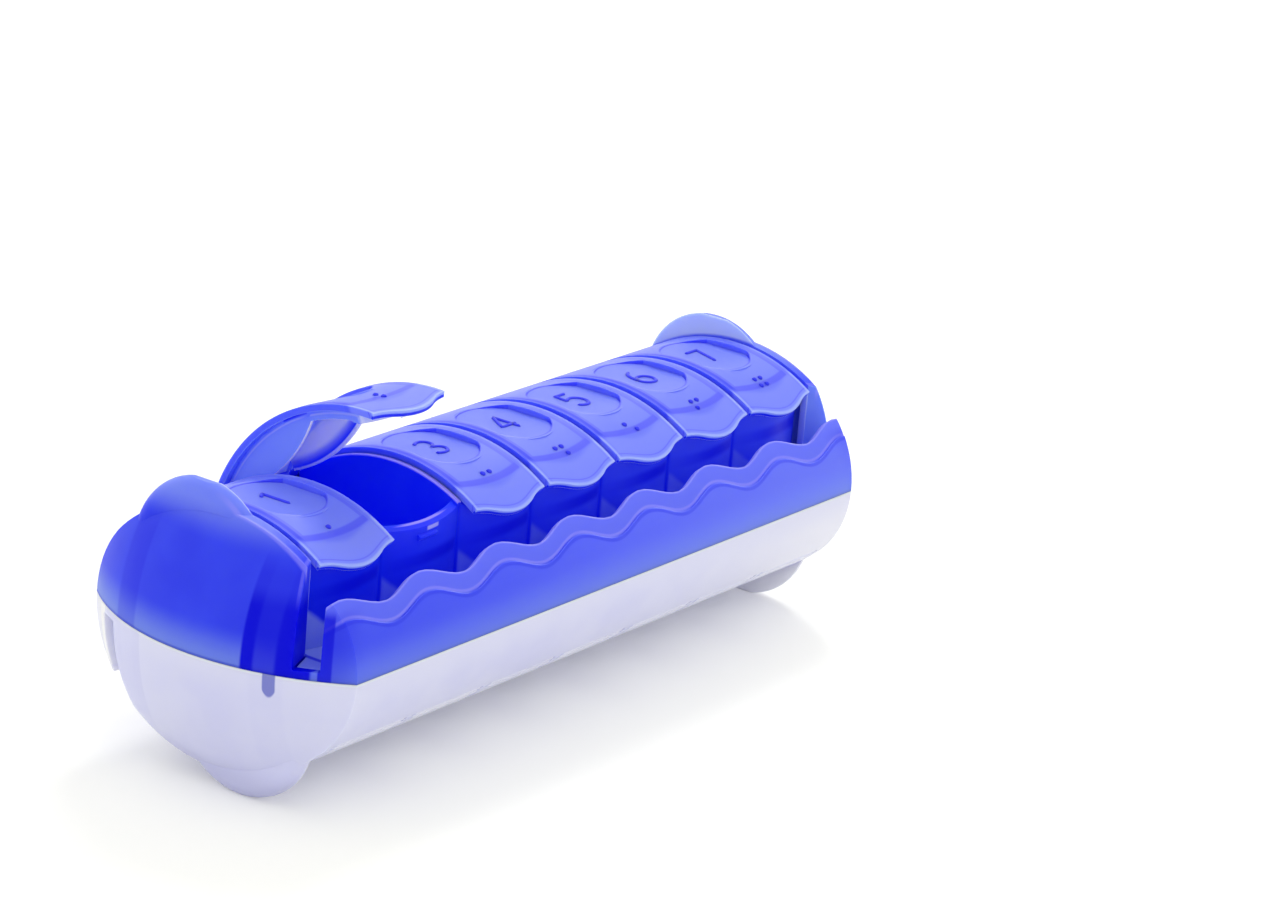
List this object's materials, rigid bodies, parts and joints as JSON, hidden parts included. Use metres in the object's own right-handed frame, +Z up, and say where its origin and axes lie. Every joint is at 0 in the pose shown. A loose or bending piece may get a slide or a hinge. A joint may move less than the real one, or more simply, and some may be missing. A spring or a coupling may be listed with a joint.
{
  "type": "pill organizer",
  "caption": "Two-sided travel pill organizer: an oval case of two halves back to back, each with a row of hinged lids over curved pockets and a wavy finger groove.",
  "frame": {"origin": "middle of the base, on the plane of the foot pads", "axes": "+X along the row of pockets from lid 1 to lid 7, +Y towards the hinges of the upper lids, +Z up"},
  "size_m": [0.1724, 0.0592, 0.0655],
  "materials": {
    "blue_shell": "satin translucent",
    "white_shell": "satin translucent",
    "blue_tray": "satin translucent",
    "blue_lid": "frosted translucent",
    "white_lid": "frosted translucent"
  },
  "bodies": {
    "case": {"upper_shell": "blue_shell", "lower_shell": "white_shell", "upper_tray": "blue_tray", "lower_tray": "blue_tray"},
    "upper_lid_1": {"upper_lid_1": "blue_lid"},
    "upper_lid_2": {"upper_lid_2": "blue_lid"},
    "upper_lid_3": {"upper_lid_3": "blue_lid"},
    "upper_lid_4": {"upper_lid_4": "blue_lid"},
    "upper_lid_5": {"upper_lid_5": "blue_lid"},
    "upper_lid_6": {"upper_lid_6": "blue_lid"},
    "upper_lid_7": {"upper_lid_7": "blue_lid"},
    "lower_lid_1": {"lower_lid_1": "white_lid"},
    "lower_lid_2": {"lower_lid_2": "white_lid"},
    "lower_lid_3": {"lower_lid_3": "white_lid"},
    "lower_lid_4": {"lower_lid_4": "white_lid"},
    "lower_lid_5": {"lower_lid_5": "white_lid"},
    "lower_lid_6": {"lower_lid_6": "white_lid"},
    "lower_lid_7": {"lower_lid_7": "white_lid"}
  },
  "joints": [
    {"name": "upper_lid_1_hinge", "type": "hinge", "parent": "case", "child": "upper_lid_1", "pos_m": [-0.0642, 0.02331, 0.04059], "axis": [-1, 0, 0], "range_deg": [0, 110]},
    {"name": "upper_lid_2_hinge", "type": "hinge", "parent": "case", "child": "upper_lid_2", "pos_m": [-0.0428, 0.02331, 0.04059], "axis": [-1, 0, 0], "range_deg": [-30, 80]},
    {"name": "upper_lid_3_hinge", "type": "hinge", "parent": "case", "child": "upper_lid_3", "pos_m": [-0.0214, 0.02331, 0.04059], "axis": [-1, 0, 0], "range_deg": [0, 110]},
    {"name": "upper_lid_4_hinge", "type": "hinge", "parent": "case", "child": "upper_lid_4", "pos_m": [0, 0.02331, 0.04059], "axis": [-1, 0, 0], "range_deg": [0, 110]},
    {"name": "upper_lid_5_hinge", "type": "hinge", "parent": "case", "child": "upper_lid_5", "pos_m": [0.0214, 0.02331, 0.04059], "axis": [-1, 0, 0], "range_deg": [0, 110]},
    {"name": "upper_lid_6_hinge", "type": "hinge", "parent": "case", "child": "upper_lid_6", "pos_m": [0.0428, 0.02331, 0.04059], "axis": [-1, 0, 0], "range_deg": [0, 110]},
    {"name": "upper_lid_7_hinge", "type": "hinge", "parent": "case", "child": "upper_lid_7", "pos_m": [0.0642, 0.02331, 0.04059], "axis": [-1, 0, 0], "range_deg": [0, 110]},
    {"name": "lower_lid_1_hinge", "type": "hinge", "parent": "case", "child": "lower_lid_1", "pos_m": [-0.0642, -0.02331, 0.01341], "axis": [-1, 0, 0], "range_deg": [0, 110]},
    {"name": "lower_lid_2_hinge", "type": "hinge", "parent": "case", "child": "lower_lid_2", "pos_m": [-0.0428, -0.02331, 0.01341], "axis": [-1, 0, 0], "range_deg": [0, 110]},
    {"name": "lower_lid_3_hinge", "type": "hinge", "parent": "case", "child": "lower_lid_3", "pos_m": [-0.0214, -0.02331, 0.01341], "axis": [-1, 0, 0], "range_deg": [0, 110]},
    {"name": "lower_lid_4_hinge", "type": "hinge", "parent": "case", "child": "lower_lid_4", "pos_m": [0, -0.02331, 0.01341], "axis": [-1, 0, 0], "range_deg": [0, 110]},
    {"name": "lower_lid_5_hinge", "type": "hinge", "parent": "case", "child": "lower_lid_5", "pos_m": [0.0214, -0.02331, 0.01341], "axis": [-1, 0, 0], "range_deg": [0, 110]},
    {"name": "lower_lid_6_hinge", "type": "hinge", "parent": "case", "child": "lower_lid_6", "pos_m": [0.0428, -0.02331, 0.01341], "axis": [-1, 0, 0], "range_deg": [0, 110]},
    {"name": "lower_lid_7_hinge", "type": "hinge", "parent": "case", "child": "lower_lid_7", "pos_m": [0.0642, -0.02331, 0.01341], "axis": [-1, 0, 0], "range_deg": [0, 110]}
  ]
}
